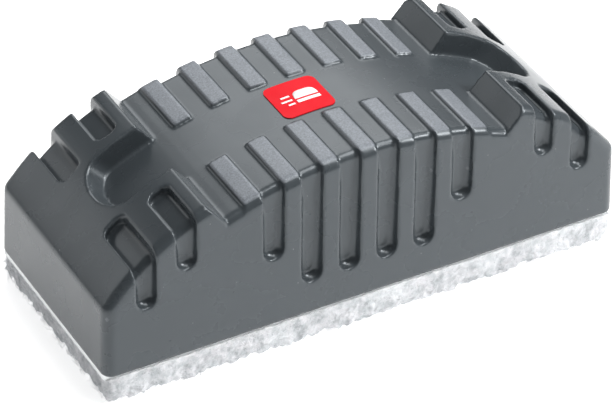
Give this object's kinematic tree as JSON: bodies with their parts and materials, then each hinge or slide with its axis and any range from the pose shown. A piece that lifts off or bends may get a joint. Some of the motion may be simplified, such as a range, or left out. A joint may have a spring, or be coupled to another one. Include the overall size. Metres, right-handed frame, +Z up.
{
  "type": "whiteboard eraser",
  "caption": "Handheld board eraser with an arched, ribbed plastic grip, grooved ends with finger recesses and a replaceable felt wiping pad.",
  "frame": {"origin": "middle of the wiping face of the felt pad, where the eraser rests", "axes": "+Z up out of the grip, +X along the length"},
  "size_m": [0.145, 0.0596, 0.0511],
  "materials": {
    "grip_plastic": "satin, fine moulded texture",
    "plate_plastic": "smooth",
    "hook_tape": "woven tape with hooks",
    "felt": "loose non-woven fibres",
    "badge_film": "gloss printed film"
  },
  "bodies": {
    "eraser_body": {"shell": "grip_plastic", "base_plate": "plate_plastic", "hook_strip_left": "hook_tape", "hook_strip_middle": "hook_tape", "hook_strip_right": "hook_tape", "label": "badge_film"},
    "refill_pad": {"felt_pad": "felt"}
  },
  "joints": [
    {"name": "pad_release", "type": "slide", "parent": "refill_pad", "child": "eraser_body", "axis": [0, 0, 1], "range_m": [0, 0.03]}
  ]
}
